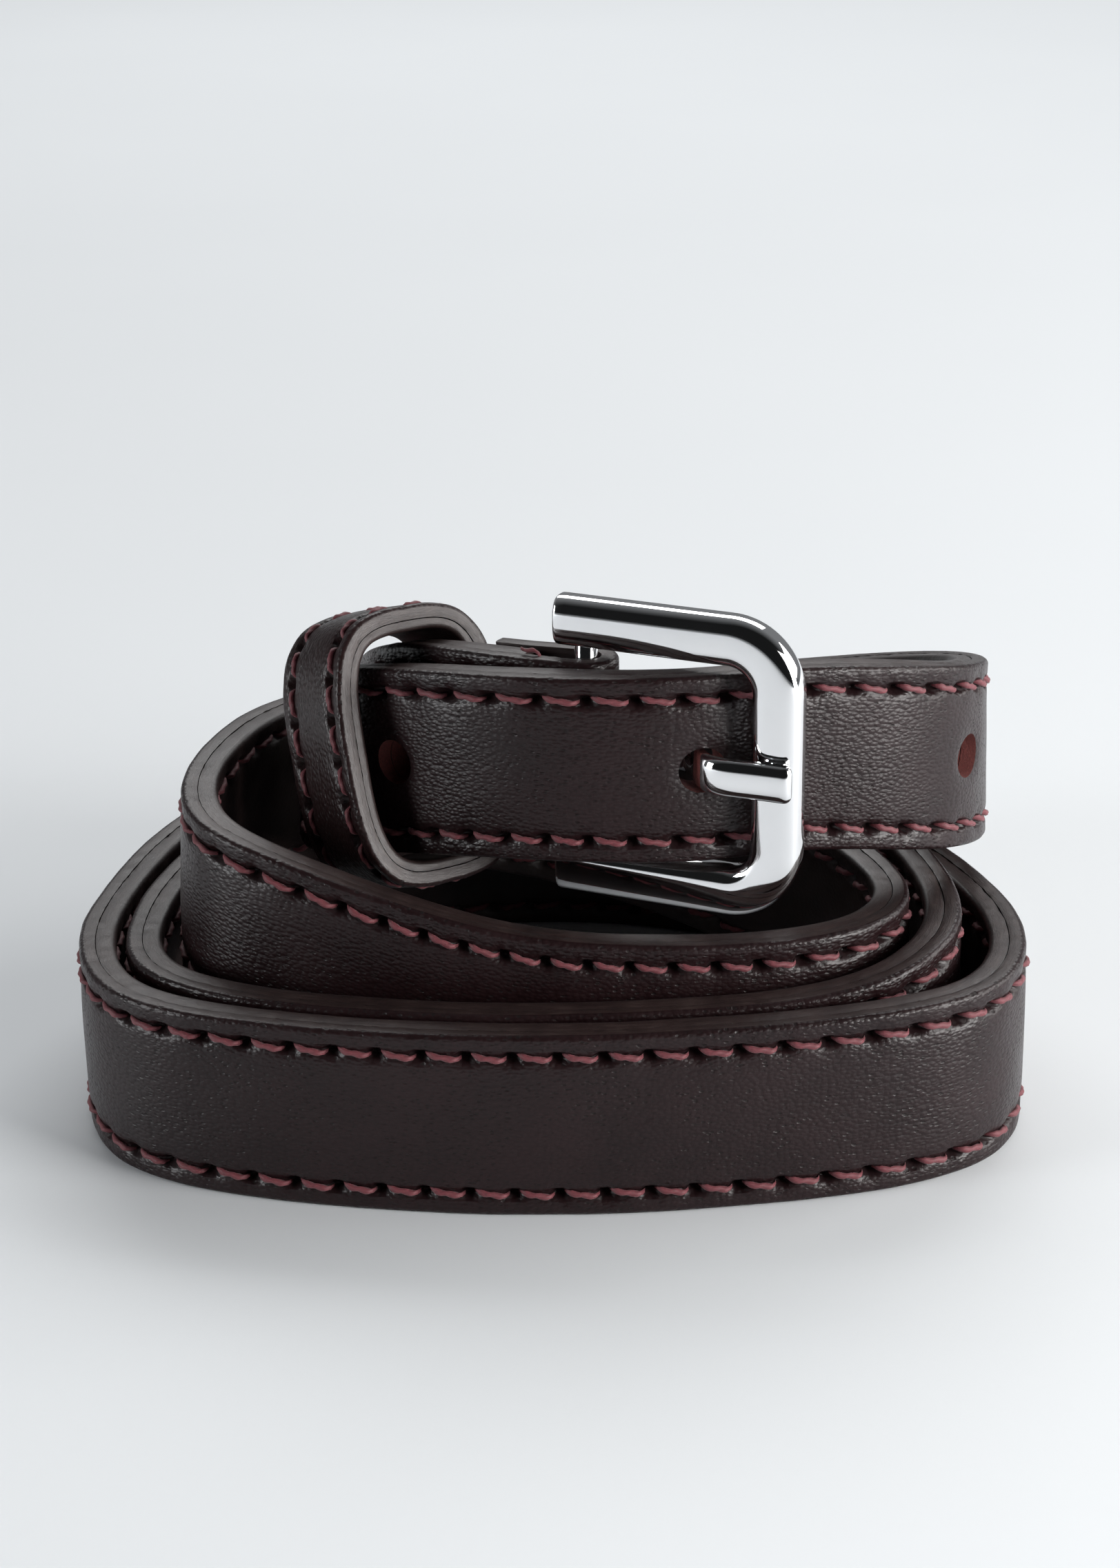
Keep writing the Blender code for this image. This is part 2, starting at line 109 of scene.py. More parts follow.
# Each punched hole is cut from a square block of the grid, which is warped into a circle.
CENTRE_STEPS = 4
HOLE_BLOCK = CENTRE_STEPS * SECTION_STEP
HOLE_EASE = 2 * HOLE_BLOCK
EDGE_RAGGEDNESS = 0.022

# Material slots of a layer.
GRAIN, EDGE, WALL = 0, 1, 2

# The strap's middle line, as in the frame: x, y, height, lean in degrees.
ROUTE = (
    # Buckle end, from the pin to the left, then down into the coil.
    (2.7, -13.4, 30.9, 0), (-4.0, -10.4, 30.75, 0), (-9.6, -4.9, 29.4, 2), (-13.3, 1.2, 26.4, 5),
    (-14.1, 7.4, 22.4, 6), (-10.6, 11.9, 19.4, 5), (-3.1, 14.2, 17.0, 3), (8.9, 12.3, 14.2, 0),
    (18.9, 5.3, 12.0, 0), (25.3, -3.9, 10.8, 0), (27.1, -12.5, 10.7, 0),
    # Third turn: front, left side and back.
    (24.3, -18.5, 11.0, 0), (17.9, -21.6, 11.0, 0), (8.9, -22.7, 11.2, 0), (-1.1, -22.8, 12.0, 0),
    (-11.1, -21.3, 14.0, 1), (-20.3, -18.4, 16.6, 2), (-26.5, -13.9, 18.2, 3), (-28.4, -6.9, 18.9, 3),
    (-26.9, 1.9, 19.4, 3), (-23.2, 10.3, 19.2, 3), (-14.5, 17.9, 18.4, 1), (0.9, 21.1, 17.0, 0),
    (13.9, 17.1, 14.6, 0), (24.5, 8.5, 11.6, 0), (30.3, -2.3, 9.7, 0), (31.3, -11.9, 9.6, 0),
    (29.8, -18.3, 9.4, 0),
    # Second turn, on the floor.
    (26.1, -22.6, 8.6, 0), (19.5, -25.1, 7.8, 0), (8.9, -26.4, 7.5, 0), (-3.1, -26.7, 7.5, 0),
    (-15.1, -25.0, 7.5, 0), (-25.1, -21.8, 7.5, 0), (-31.3, -16.5, 7.5, 0), (-32.8, -8.5, 7.5, 0),
    (-31.3, 2.1, 7.5, 0), (-26.9, 12.7, 7.5, 0), (-16.9, 21.6, 7.5, 0), (0.9, 25.1, 7.5, 0),
    (16.1, 20.9, 7.5, 0), (28.1, 11.1, 7.5, 0), (34.3, -1.3, 7.5, 0), (36.3, -13.3, 7.5, 0),
    # First turn, on the floor, then up round the back.
    (33.1, -22.7, 7.5, 0), (23.5, -27.7, 7.5, 0), (10.9, -29.9, 7.5, 0), (-1.1, -30.4, 7.5, 0),
    (-13.1, -29.1, 7.5, 0), (-24.1, -26.4, 7.5, 0), (-32.9, -21.2, 7.5, 0), (-36.3, -12.9, 7.5, 0),
    (-35.7, -0.7, 7.5, 0), (-32.1, 11.9, 7.7, 0), (-22.5, 24.0, 8.8, 0), (-5.1, 30.3, 11.2, 0),
    (10.9, 29.5, 14.4, 0), (23.5, 24.1, 17.4, 0), (31.1, 15.9, 20.6, 0), (34.7, 7.3, 23.4, 1),
    (34.4, -0.5, 25.6, 1),
    # Tip end: over the pin, behind the bar, through the keeper.
    (31.3, -7.1, 27.6, 1), (26.3, -11.1, 29.2, 1), (19.5, -13.9, 30.3, 1), (11.5, -16.9, 30.8, 1),
    (2.9, -17.3, 31.0, 0), (-4.7, -14.7, 30.5, 0), (-11.3, -9.5, 29.0, 2), (-16.5, -3.1, 26.6, 4),
    (-19.0, 3.3, 23.8, 6), (-19.3, 6.9, 22.4, 6),
)


# --- Route ---------------------------------------------------------------------------------------

def unit(vectors):
    return vectors / np.linalg.norm(vectors, axis=-1, keepdims=True)


class Spline:
    """A natural cubic through points, with the length of the chords as its parameter."""

    def __init__(self, points):
        self.points = np.array(points, float)
        chords = np.linalg.norm(np.diff(self.points[:, :3], axis=0), axis=1)
        self.knots = np.concatenate([[0.0], np.cumsum(chords)])
        self.length = self.knots[-1]
        steps = np.diff(self.knots)
        slopes = np.diff(self.points, axis=0) / steps[:, None]
        count = len(self.knots)
        system = np.eye(count)
        right = np.zeros_like(self.points)
        for i in range(1, count - 1):
            system[i, i - 1:i + 2] = steps[i - 1], 2 * (steps[i - 1] + steps[i]), steps[i]
            right[i] = 6 * (slopes[i] - slopes[i - 1])
        self.bend = np.linalg.solve(system, right)

    def at(self, places):
        """Values and first derivatives at some places along the chords."""
        places = np.atleast_1d(np.array(places, float))
        i = np.clip(np.searchsorted(self.knots, places) - 1, 0, len(self.knots) - 2)
        step = (self.knots[i + 1] - self.knots[i])[:, None]
        after = places[:, None] - self.knots[i][:, None]
        before = self.knots[i + 1][:, None] - places[:, None]
        low, high = self.points[i], self.points[i + 1]
        bend_low, bend_high = self.bend[i], self.bend[i + 1]
        value = (bend_low * before ** 3 + bend_high * after ** 3) / (6 * step)
        value += (low / step - bend_low * step / 6) * before
        value += (high / step - bend_high * step / 6) * after
        slope = (bend_high * after ** 2 - bend_low * before ** 2) / (2 * step)
        slope += (high - low) / step - (bend_high - bend_low) * step / 6
        return value, slope


class Strap:
    """Frames along the strap: middle point, direction, direction across it, and outward normal."""

    def __init__(self, route):
        self.spline = Spline(route)
        self.length = self.spline.length

    def frames(self, places):
        value, slope = self.spline.at(places)
        middle = value[:, :3].copy()
        middle[:, 2] = np.maximum(middle[:, 2], STRAP_WIDTH / 2)
        along = unit(slope[:, :3])
        across = unit(UP - along * (along @ UP)[:, None])
        outward = np.cross(across, along)
        lean = np.radians(value[:, 3])[:, None]
        leaned_across = np.cos(lean) * across - np.sin(lean) * outward
        leaned_outward = np.cos(lean) * outward + np.sin(lean) * across
        return middle, along, leaned_across, leaned_outward

    def nearest(self, x, start, end):
        """The place between start and end where the strap's middle has this x."""
        places = np.linspace(start, end, 4000)
        return places[np.argmin(np.abs(self.frames(places)[0][:, 0] - x))]


# --- Mesh helpers --------------------------------------------------------------------------------

def mesh_object(name, points, faces, places=None, face_slots=None, sharp=40):
    """An object from points in millimetres, with each point's place on its piece as an attribute."""
    mesh = bpy.data.meshes.new(name)
    mesh.from_pydata((np.array(points) * MM).tolist(), [], faces)
    mesh.validate()
    if places is not None:
        attribute = mesh.attributes.new("place", "FLOAT_VECTOR", "POINT")
        attribute.data.foreach_set("vector", np.array(places, np.float32).ravel())
    if face_slots is not None:
        mesh.polygons.foreach_set("material_index", np.array(face_slots, np.int32))
    mesh.shade_smooth()
    if sharp:
        mesh.set_sharp_from_angle(angle=math.radians(sharp))
    obj = bpy.data.objects.new(name, mesh)
    bpy.context.scene.collection.objects.link(obj)
    return obj


def finish_piece(obj, body, materials, replaced=()):
    for surface in materials:
        obj.data.materials.append(surface)
    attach(obj, body)
    if replaced:
        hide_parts(*replaced)
    return obj


def grid_faces(rows, columns, closed=False, start=0):
    """Quads between neighbouring rings of points, with both ends capped unless the rings close."""
    faces = []
    for i in range(rows if closed else rows - 1):
        low = start + i * columns
        high = start + ((i + 1) % rows) * columns
        for j in range(columns):
            k = (j + 1) % columns
            faces.append((low + j, low + k, high + k, high + j))
    if not closed:
        faces.append(tuple(start + j for j in reversed(range(columns))))
        faces.append(tuple(start + (rows - 1) * columns + j for j in range(columns)))
    return faces


def sweep(name, rings, sharp=40):
    return mesh_object(name, np.concatenate(rings), grid_faces(len(rings), len(rings[0])), sharp=sharp)


# --- Leather surface -----------------------------------------------------------------------------

def wave(along, across, seed):
    """Soft unevenness of a hand-cut strap, between about -1 and 1."""
    draws = np.random.RandomState(seed)
    total = np.zeros_like(along)
    for _ in range(7):
        length, width, phase = draws.uniform(5, 26), draws.uniform(7, 30), draws.uniform(0, 6.28)
        total += np.sin(6.283 * along / length + 6.283 * across / width + phase)
    return total / 4


def stitch_relief(along, across, row, pitch):
    """How far the leather is pulled in round a row of stitches, in millimetres."""
    phase = (along / pitch + 0.5) % 1.0 - 0.5
    off_hole = phase * pitch
    off_row = np.abs(across) - row
    groove = GROOVE_DEPTH * np.exp(-(off_row / GROOVE_WIDTH) ** 2)
    off_needle = (off_hole / NEEDLE_HOLE_LENGTH) ** 2 + (off_row / NEEDLE_HOLE_WIDTH) ** 2
    hole = NEEDLE_HOLE_DEPTH * np.exp(-(off_needle ** 1.6))
    pucker = PUCKER_DEPTH * np.exp(-(off_hole / PUCKER_LENGTH) ** 2) * np.exp(-(off_row / PUCKER_WIDTH) ** 2)
    return -(groove + hole + pucker)


def layer_profile(edge, row, outer, inner):
    """Outline of a layer, once round: (across, depth, side). Side is 1 on the grain, -1 on the flesh.

    The columns stand closest together along the row of stitches.
    """
    corner = 0.42
    centre = [k * SECTION_STEP for k in range(CENTRE_STEPS + 1)]
    to_row = [2.4, 3.0, 3.7, 4.4]
    near = [row + d for d in (-0.9, -0.62, -0.4, -0.2, 0.0, 0.2, 0.4, 0.62)]
    half = [(w, outer, 1.0) for w in centre + to_row + near]
    for degrees in (0, 22, 45, 67, 90):
        a = math.radians(degrees)
        half.append((edge - corner + corner * math.sin(a), outer - (corner - corner * math.cos(a)), 1.0))
    half += [(edge, outer - corner - (outer - corner - inner) * t, 0.0) for t in (0.35, 0.7)]
    half += [(edge - 0.06, inner, 0.0), (5.0, inner, -1.0)]
    half += [(w, inner, -1.0) for w in reversed(centre[1:])]
    mirrored = [(-w, d, g) for w, d, g in reversed(half)]
    return half + [(0.0, inner, -1.0)] + mirrored[:-1]


def tip_share(distance):
    """Width of the rounded tip at a distance from its end, as a share of the full width."""
    rest = np.clip((TIP_LENGTH - distance) / TIP_LENGTH, 0, 1)
    return TIP_END_SHARE + (1 - TIP_END_SHARE) * np.maximum(0, 1 - rest ** 2.2) ** (1 / 2.2)


def fold_frames(strap):
    """The pin, and the outer layer's turn round it, as in the frame, from the end of its return leg."""
    middle, along, across, outward = [item[0] for item in strap.frames(0.0)]
    radius = PIN_RADIUS + FOLD_GAP + FACE_THICKNESS / 2
    pin = middle + (STRAP_THICKNESS / 2 - FACE_THICKNESS / 2 - radius) * outward
    leg = -STRAP_THICKNESS / 2 - 0.4 - FACE_THICKNESS / 2
    points = []
    for p, _, a, n in zip(*strap.frames(np.linspace(FOLD_LENGTH, FOLD_START, 9))):
        points.append((p + leg * n, a, -n))
    for degrees in range(-90, 85, 10):
        angle = math.radians(degrees)
        normal = math.cos(angle) * -along + math.sin(angle) * outward
        points.append((pin + radius * normal, across, normal))
    return pin, points


class LayerMesh:
    """A strap layer as a grid of rings with the holes left open and walled."""

    def __init__(self, profile, rows, holes):
        self.profile = profile
        self.rows = rows
        self.holes = holes
        self.columns = len(profile)
        inner = [j for j in range(self.columns) if self.central(j)]
        self.top = {self.column(j): j for j in inner if profile[j][2] > 0}
        self.bottom = {self.column(j): j for j in inner if profile[j][2] < 0}

    def central(self, j):
        return abs(self.profile[j][0]) < HOLE_BLOCK + 1e-6

    def column(self, j):
        return int(round(self.profile[j][0] / SECTION_STEP))

    def warp(self, along, across):
        """Turns the square block round each hole into a circle, and eases out over its neighbours."""
        for hole in self.holes:
            x = along - hole
            square = np.maximum(np.abs(x), np.abs(across))
            radius = np.hypot(x, across)
            near = (square < HOLE_EASE - 1e-9) & (radius > 1e-9)
            mix = np.clip((square - HOLE_BLOCK) / (HOLE_EASE - HOLE_BLOCK), 0, 1)
            wanted = (1 - mix) * HOLE_RADIUS * square / HOLE_BLOCK + mix * radius
            scale = np.where(near, wanted / np.maximum(radius, 1e-9), 1.0)
            along = hole + x * scale
            across = across * scale
        return along, across

    def faces(self, open_cells):
        """Faces and their material slots. Open cells have no face but walls between the two sides."""
        columns = self.columns
        quads = []
        slots = []
        for i in range(self.rows - 1):
            here, there = i * columns, (i + 1) * columns
            for j in range(columns):
                k = (j + 1) % columns
                side, next_side = self.profile[j][2], self.profile[k][2]
                if side == next_side != 0 and self.central(j) and self.central(k):
                    if (i, min(self.column(j), self.column(k))) in open_cells:
                        continue
                quads.append((here + j, here + k, there + k, there + j))
                slots.append(GRAIN if side == next_side == 1 else EDGE)
        # A cell's four borders: the neighbour there, then the border's two corners.
        borders = (((0, -1), (0, 0), (1, 0)), ((0, 1), (1, 1), (0, 1)),
                   ((-1, 0), (0, 1), (0, 0)), ((1, 0), (1, 0), (1, 1)))
        for i, k in sorted(open_cells):
            for (row_step, column_step), first, second in borders:
                if (i + row_step, k + column_step) in open_cells:
                    continue
                outer = [(i + row) * columns + self.top[k + column] for row, column in (first, second)]
                inner = [(i + row) * columns + self.bottom[k + column] for row, column in (second, first)]
                quads.append(tuple(outer + inner))
                slots.append(WALL)
        quads.append(tuple(reversed(range(columns))))
        quads.append(tuple(range((self.rows - 1) * columns, self.rows * columns)))
        slots += [EDGE, EDGE]
        return quads, slots


def strap_stations(strap, prong_place, start):
    """Places along the strap in even steps, some of which fall on the holes' centres."""
    first = math.ceil((start - prong_place) / SECTION_STEP)
    last = math.floor((strap.length - prong_place) / SECTION_STEP)
    return prong_place + np.arange(first, last + 1) * SECTION_STEP


def hole_cells(stations, holes):
    """Cells of the grid, by row and column, that the punched holes leave open."""
    reach = range(-CENTRE_STEPS, CENTRE_STEPS)
    centres = [int(round((hole - stations[0]) / SECTION_STEP)) for hole in holes]
    return {(centre + i, k) for centre in centres for i in reach for k in reach}


def lip_relief(along, across, holes):
    """The softened lip of each punched hole."""
    total = np.zeros_like(along)
    for hole in holes:
        off = np.hypot(along - hole, across) - HOLE_RADIUS
        total -= 0.16 * np.exp(-np.clip(off, 0, None) / 0.3) * (off < 3)
    return total


def make_outer_layer(strap, prong_place, holes, stitch_start):
    """The grained layer: its turn round the pin, then the whole length to the tip."""
    edge, row = STRAP_WIDTH / 2, STRAP_WIDTH / 2 - STITCH_INSET
    half = FACE_THICKNESS / 2
    face_middle = STRAP_THICKNESS / 2 - half
    profile = layer_profile(edge, row, half, -half)
    stations = strap_stations(strap, prong_place, 0.1)
    _, folded = fold_frames(strap)
    fold_count = len(folded)
    layer = LayerMesh(profile, fold_count + len(stations), holes)
    widths, depths, grain = np.array(profile).T
    points, places = [], []
    for count, (p, across, normal) in enumerate(folded):
        points.append(p + widths[:, None] * across + depths[:, None] * normal)
        places.append(np.stack([np.full_like(widths, (count - fold_count) * 0.33), widths, depths], axis=1))
    along, across = layer.warp(*np.meshgrid(stations, widths, indexing="ij"))
    sewn = np.clip((strap.length - 1.5 - along) / 2, 0, 1) * np.clip((along - 3.0) / 2, 0, 1)
    relief = stitch_relief(along - stitch_start, across, row, STITCH_PITCH) * sewn
    relief += lip_relief(along, across, holes)
    relief += 0.045 * wave(along, across, 3) + 0.05 * (1 - (across / row) ** 2)
    depth = depths[None, :] + np.where(grain[None, :] > 0, relief, 0.0)
    rough = RANDOM.normal(0, EDGE_RAGGEDNESS, across.shape) * (grain[None, :] == 0)
    across_scaled = (across + np.sign(across) * rough) * tip_share(strap.length - stations)[:, None]
    middle, _, direction, outward = strap.frames(along.ravel())
    lift = (face_middle + depth).ravel()[:, None]
    points.append(middle + across_scaled.ravel()[:, None] * direction + lift * outward)
    places.append(np.stack([along.ravel(), across_scaled.ravel(), depth.ravel()], axis=1))
    cells = {(i + fold_count, k) for i, k in hole_cells(stations, holes)}
    # The prong's slot runs from the return leg round the fold.
    slot_end = fold_count + int((SLOT_LEFT - stations[0]) / SECTION_STEP)
    cells |= {(i, k) for i in range(4, slot_end) for k in range(-CENTRE_STEPS, CENTRE_STEPS)}
    faces, slots = layer.faces(cells)
    obj = mesh_object("strap_grained_layer", np.concatenate(points), faces, np.concatenate(places), slots)
    return remove_loose(obj)


def remove_loose(obj):
    """Drops the points that the open cells left without a face, and turns all faces outwards."""
    bm = bmesh.new()
    bm.from_mesh(obj.data)
    loose = [vert for vert in bm.verts if not vert.link_faces]
    bmesh.ops.delete(bm, geom=loose, context="VERTS")
    bmesh.ops.recalc_face_normals(bm, faces=bm.faces)
    bm.to_mesh(obj.data)
    bm.free()
    return obj


def make_inner_layer(strap, prong_place, holes, stitch_start):
    """The lining, which starts behind the fold and runs to the tip."""
    edge, row = STRAP_WIDTH / 2 - 0.05, STRAP_WIDTH / 2 - STITCH_INSET
    outer = -STRAP_THICKNESS / 2
    inner = STRAP_THICKNESS / 2 - FACE_THICKNESS - GLUE_LINE
    profile = [(w, -d, g) for w, d, g in layer_profile(edge, row, -outer, -inner)]
    stations = strap_stations(strap, prong_place, FOLD_START - 0.6)
    layer = LayerMesh(profile, len(stations), holes)
    widths, depths, grain = np.array(profile).T
    along, across = layer.warp(*np.meshgrid(stations, widths, indexing="ij"))
    sewn = np.clip((strap.length - 1.5 - along) / 2, 0, 1)
    relief = 0.7 * stitch_relief(along - stitch_start, across, row, STITCH_PITCH) * sewn
    relief += 0.04 * wave(along, across, 5)
    depth = depths[None, :] - np.where(grain[None, :] > 0, relief, 0.0)
    rough = RANDOM.normal(0, 0.025, across.shape) * (grain[None, :] == 0)
    across = (across + np.sign(across) * rough) * tip_share(strap.length - stations)[:, None]
    middle, _, direction, outward = strap.frames(along.ravel())
    points = middle + across.ravel()[:, None] * direction + depth.ravel()[:, None] * outward
    places = np.stack([along.ravel(), across.ravel(), depth.ravel()], axis=1)
    faces, slots = layer.faces(hole_cells(stations, holes))
    return remove_loose(mesh_object("strap_lining_layer", points, faces, places, slots))


# --- Stitches ------------------------------------------------------------------------------------

STITCH_RINGS = 15
STITCH_SIDES = 8


def stitch_mesh(name, curves, radius):
    """Two-ply thread segments. Each curve gives points, sideways and upward directions."""
    points, faces, places = [], [], []
    angles = np.arange(STITCH_SIDES) * 2 * math.pi / STITCH_SIDES
    for number, (line, side, up) in enumerate(curves):
        for i in range(STITCH_RINGS):
            t = i / (STITCH_RINGS - 1)
            twist = 2 * math.pi * 1.25 * t
            ply = 1 + 0.2 * np.cos(2 * (angles - twist))
            taper = 0.75 + 0.25 * min(1.0, 5 * t, 5 * (1 - t))
            r = (radius * ply * taper)[:, None]
            points.append(line[i] + r * (np.cos(angles)[:, None] * side[i] + np.sin(angles)[:, None] * up[i]))
            places.append(np.stack([np.full_like(angles, number + t), angles, angles * 0], axis=1))
        start = number * STITCH_RINGS * STITCH_SIDES
        faces += grid_faces(STITCH_RINGS, STITCH_SIDES, start=start)
    return mesh_object(name, np.concatenate(points), faces, np.concatenate(places), sharp=0)


def stitch_height(t):
    """Rise of a stitch out of its first hole, over the leather and into the next hole."""
    return -0.02 - 0.7 * np.abs(2 * t - 1) ** 5


def strap_stitches(strap, stitch_start, side, outer):
    """One row on the grain or on the lining; the fold's return leg covers the lining's first ones."""
    row = STRAP_WIDTH / 2 - STITCH_INSET
    level = STRAP_THICKNESS / 2
    sign = 1 if outer else -1
    first = math.ceil((4.0 - stitch_start) / STITCH_PITCH)
    last = math.floor((strap.length - 2.5 - stitch_start) / STITCH_PITCH)
    curves = []
    t = np.linspace(0, 1, STITCH_RINGS)
    for k in range(first, last):
        if not outer and stitch_start + k * STITCH_PITCH < FOLD_LENGTH:
            continue
        jitter = RANDOM.normal(0, 0.03, 3)
        along = stitch_start + (k + 0.5) * STITCH_PITCH + (t - 0.5) * (STITCH_PITCH - STITCH_GAP + jitter[0])
        middle, _, across, outward = strap.frames(along)
        share = tip_share(strap.length - along)
        slant = (t - 0.5) * 0.45 + jitter[1]
        width = side * row * share + slant
        height = sign * (level + stitch_height(t) + jitter[2] - 0.02)
        line = middle + width[:, None] * across + height[:, None] * outward
        curves.append((line, across, outward * sign))
    return curves


# --- Keeper --------------------------------------------------------------------------------------

def keeper_place(strap):
    """The keeper's middle, with the straps' direction through it, up and front."""
    inner = strap.nearest(KEEPER_X + 1.0, 0.0, 30.0)
    outer = strap.nearest(KEEPER_X, strap.length - 45.0, strap.length)
    middle, along, across, _ = strap.frames([inner, outer])
    forward = unit(along[0] + along[1])
    up = unit(across.sum(axis=0) - forward * (across.sum(axis=0) @ forward))
    return middle.mean(axis=0), forward, up, np.cross(up, forward)


def keeper_loop(place, count):
    """Evenly spaced points and outward normals round the keeper's outer face, from its back."""
    middle, _, up, front = place
    fine = np.linspace(0, 2 * math.pi, 4001)[:-1] + math.pi
    power = 2 / KEEPER_SQUARENESS
    c, s = np.cos(fine), np.sin(fine)
    x = KEEPER_DEPTH / 2 * np.sign(c) * np.abs(c) ** power
    y = KEEPER_HEIGHT / 2 * np.sign(s) * np.abs(s) ** power
    steps = np.hypot(np.diff(x, append=x[0]), np.diff(y, append=y[0]))
    length = steps.sum()
    gone = np.concatenate([[0], np.cumsum(steps)[:-1]])
    at = np.arange(count) * length / count
    x, y = np.interp(at, gone, x), np.interp(at, gone, y)
    for _ in range(6):
        x = (np.roll(x, 1) + 2 * x + np.roll(x, -1)) / 4
        y = (np.roll(y, 1) + 2 * y + np.roll(y, -1)) / 4
    tangent = unit(np.stack([np.roll(x, -1) - np.roll(x, 1), np.roll(y, -1) - np.roll(y, 1)], axis=1))
    normal = np.stack([tangent[:, 1], -tangent[:, 0]], axis=1)
    points = middle + x[:, None] * front + y[:, None] * up
    normals = normal[:, :1] * front + normal[:, 1:] * up
    return points, normals, at, length


KEEPER_STITCHES = 20
KEEPER_RINGS = KEEPER_STITCHES * 8


def make_keeper_layer(name, place, inset, thickness, sewn_out, half):
    """One layer of the loop, from inset to inset + thickness below the outer face."""
    points, normals, at, length = keeper_loop(place, KEEPER_RINGS)
    pitch = length / KEEPER_STITCHES
    row = KEEPER_BAND / 2 - STITCH_INSET_KEEPER
    corner = min(0.35, thickness / 2.5)
    near = [row + d for d in (-0.9, -0.6, -0.4, -0.2, 0.0, 0.2, 0.4, 0.65)]
    side = [(w, 0.0, 1.0) for w in [0.0, 0.7, 1.3] + near]
    for degrees in (0, 30, 60, 90):
        a = math.radians(degrees)
        side.append((half - corner + corner * math.sin(a), corner * math.cos(a) - corner, 1.0))
    side += [(half, -thickness * 0.65, 0.0), (half - 0.05, -thickness, 0.0), (half * 0.5, -thickness, -1.0)]
    side += [(-w, d, g) for w, d, g in reversed(side[1:])]
    w, d, g = np.array(side).T
    along, across = np.meshgrid(at, w, indexing="ij")
    relief = stitch_relief(along, across, row, pitch) * (1.0 if sewn_out else 0.0)
    relief += 0.03 * np.sin(6.283 * (along / length * 5 + across / 11)) + 0.04 * (1 - (across / half) ** 2)
    depth = d[None, :] + np.where(g[None, :] > 0, relief, 0.0) - inset
    if not sewn_out:
        depth = -2 * inset - thickness - depth
    across = across + np.sign(across) * RANDOM.normal(0, 0.02, across.shape) * (g[None, :] == 0)
    rings = points[:, None, :] + across[..., None] * place[1] + depth[..., None] * normals[:, None, :]
    faces = grid_faces(len(at), len(w), True)
    slots = [GRAIN if here > 0 and there > 0 else EDGE for here, there in zip(g, np.roll(g, -1))] * len(at)
    # Shifted along, so that the keeper's grain is not the strap's.
    places = np.stack([along.ravel() + 900, across.ravel(), depth.ravel()], axis=1)
    return remove_loose(mesh_object(name, rings.reshape(-1, 3), faces, places, slots))


def keeper_stitches(place, side):
    points, normals, at, length = keeper_loop(place, KEEPER_RINGS)
    row = KEEPER_BAND / 2 - STITCH_INSET_KEEPER
    pitch = length / KEEPER_STITCHES
    closed = np.concatenate([at, [length]])
    outline = np.concatenate([points, points[:1]])
    outward = np.concatenate([normals, normals[:1]])
    t = np.linspace(0, 1, STITCH_RINGS)
    curves = []
    for k in range(KEEPER_STITCHES):
        jitter = RANDOM.normal(0, 0.025, 2)
        along = ((k + 0.5) * pitch + (t - 0.5) * (pitch - STITCH_GAP)) % length
        spot = np.stack([np.interp(along, closed, outline[:, i]) for i in range(3)], axis=1)
        out = np.stack([np.interp(along, closed, outward[:, i]) for i in range(3)], axis=1)
        width = side * row + (t - 0.5) * 0.25 + jitter[0]
        line = spot + width[:, None] * place[1] + (stitch_height(t) - 0.04 + jitter[1])[:, None] * out
        curves.append((line, np.repeat(place[1][None, :], STITCH_RINGS, axis=0), out))
    return curves


def make_staple(place):
    """Round wire across the lining, with both ends turned into the leather."""
    radius = 0.24
    middle, forward, up, front = place
    back = middle - (KEEPER_DEPTH / 2 - KEEPER_FACE - KEEPER_LINING - 0.22) * front
    outline = [(-2.6, -0.5), (-2.6, -0.2), (-2.5, -0.04), (-2.3, 0.0), (0.0, 0.02), (2.3, 0.0)]
    outline += [(2.5, -0.04), (2.6, -0.2), (2.6, -0.5)]
    line = np.array([back + along * forward + f * front for along, f in outline])
    tangents = unit(np.gradient(line, axis=0))
    angles = np.arange(12) * math.pi / 6
    rings = []
    for p, t in zip(line, tangents):
        other = np.cross(t, up)
        rings.append(p + radius * (np.cos(angles)[:, None] * up + np.sin(angles)[:, None] * other))
    return sweep("keeper_staple_wire", rings)


# --- Buckle --------------------------------------------------------------------------------------

class BucklePlane:
    """The plane of the buckle: from the pin to the bar, up, and out to the front."""

    def __init__(self, pin, up):
        self.up = up
        self.pin = pin
        towards_bar = np.array([BAR_X, BAR_Y, pin[2]]) - pin
        self.right = unit(towards_bar - up * (towards_bar @ up))
        self.front = np.cross(self.right, up)

    def point(self, right, up, front):
        return self.pin + right * self.right + up * self.up + front * self.front

    def flat(self, vector):
        return np.array([vector @ self.right, vector @ self.front])


def rounded(value, power):
    """Pulls a sine or cosine towards the corners of its square."""
    return math.copysign(abs(value) ** power, value)


